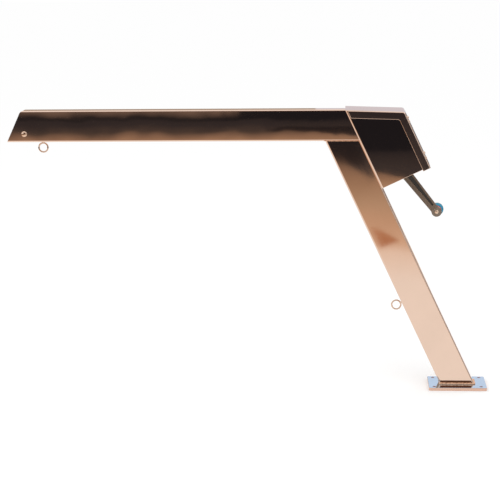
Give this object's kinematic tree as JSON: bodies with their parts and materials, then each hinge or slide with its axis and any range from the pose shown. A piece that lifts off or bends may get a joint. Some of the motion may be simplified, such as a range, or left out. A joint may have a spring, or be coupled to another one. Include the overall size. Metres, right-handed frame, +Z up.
{
  "type": "stern davit with hand winch",
  "caption": "Fixed deck davit: leaning box-section post, level arm with a tip sheave, and a cranked hand winch in a sheet case behind the joint.",
  "frame": {"origin": "centre of the bolt pattern at the underside of the deck plate", "axes": "+Z up, +X from the arm tip towards the winch, +Y away from the plain side and towards the crank"},
  "size_m": [1.5325, 0.2643, 0.902],
  "materials": {
    "polished_tube": "mirror polished, warm bronze tone",
    "polished_plate": "polished",
    "weld": "as welded, brushed over",
    "ring_wire": "polished wire",
    "polished_sheet": "mirror polished, warm bronze tone",
    "bright_fastener": "polished",
    "zinc_plate": "zinc plated",
    "drum_steel": "zinc plated",
    "gear_steel": "machined and oiled",
    "bronze": "turned",
    "brake_lining": "matt",
    "nylon": "turned",
    "black_plastic": "moulded",
    "crank_metal": "forged and polished",
    "red_sleeve": "moulded",
    "grip_plastic": "moulded"
  },
  "bodies": {
    "frame": {"base_plate": "polished_plate", "foot_weld": "weld", "post_tube": "polished_tube", "arm_tube": "polished_tube", "arm_weld": "weld", "tip_cap": "polished_tube", "arm_ring": "ring_wire", "post_ring": "ring_wire", "sheave_pin": "bright_fastener", "sheave_nut": "bright_fastener", "sheave_spacers": "zinc_plate", "winch_case": "polished_sheet", "case_cover": "polished_sheet", "cover_screws": "bright_fastener", "cover_nuts": "bright_fastener", "winch_frame": "zinc_plate", "frame_bolts": "zinc_plate", "shaft_bushes": "bronze", "drum_axle": "zinc_plate", "drum_nut": "zinc_plate", "drum_washers": "zinc_plate", "pawl_pin": "zinc_plate", "pawl_spring": "gear_steel", "roller_pin": "zinc_plate", "tie_bolts": "zinc_plate", "tie_sleeves": "zinc_plate", "hub_collar": "black_plastic"},
    "sheave": {"sheave": "nylon", "sheave_bush": "bronze"},
    "drum": {"drum": "drum_steel", "drum_bushes": "bronze", "gear_rivets": "drum_steel", "drum_gear": "gear_steel"},
    "crank": {"input_shaft": "gear_steel", "brake_flange": "gear_steel", "brake_discs": "brake_lining", "crank_hub": "crank_metal", "crank_arm": "crank_metal", "crank_washer": "bright_fastener", "crank_nut": "bright_fastener", "grip_pin": "bright_fastener"},
    "grip": {"grip": "grip_plastic", "grip_collar": "red_sleeve", "grip_cap": "black_plastic"},
    "ratchet": {"ratchet_wheel": "gear_steel"},
    "pawl": {"pawl": "gear_steel"},
    "roller": {"line_roller": "nylon"}
  },
  "joints": [
    {"name": "sheave_spin", "type": "hinge", "parent": "frame", "child": "sheave", "pos_m": [-1.384, 0, 0.826], "axis": [0, 1, 0], "continuous": true},
    {"name": "crank_spin", "type": "hinge", "parent": "frame", "child": "crank", "pos_m": [-0.20075, 0, 0.72446], "axis": [0, 1, 0], "continuous": true},
    {"name": "drum_spin", "type": "hinge", "parent": "frame", "child": "drum", "pos_m": [-0.23245, 0, 0.79243], "axis": [0, 1, 0], "continuous": true},
    {"name": "grip_spin", "type": "hinge", "parent": "crank", "child": "grip", "pos_m": [-0.06633, 0.084, 0.55667], "axis": [0.0654, 0.9945, -0.0816], "continuous": true},
    {"name": "ratchet_spin", "type": "hinge", "parent": "frame", "child": "ratchet", "pos_m": [-0.20075, 0, 0.72446], "axis": [0, 1, 0], "continuous": true},
    {"name": "pawl_lift", "type": "hinge", "parent": "frame", "child": "pawl", "pos_m": [-0.16506, 0, 0.70944], "axis": [0, 1, 0], "range_deg": [0, 14], "stiffness_Nm_per_rad": 0.03, "springref_deg": -28.65},
    {"name": "roller_spin", "type": "hinge", "parent": "frame", "child": "roller", "pos_m": [-0.30391, 0, 0.81318], "axis": [0, 1, 0], "continuous": true}
  ],
  "couplings": [
    {"joint": "drum_spin", "follows": "crank_spin", "ratio": -0.25}
  ]
}
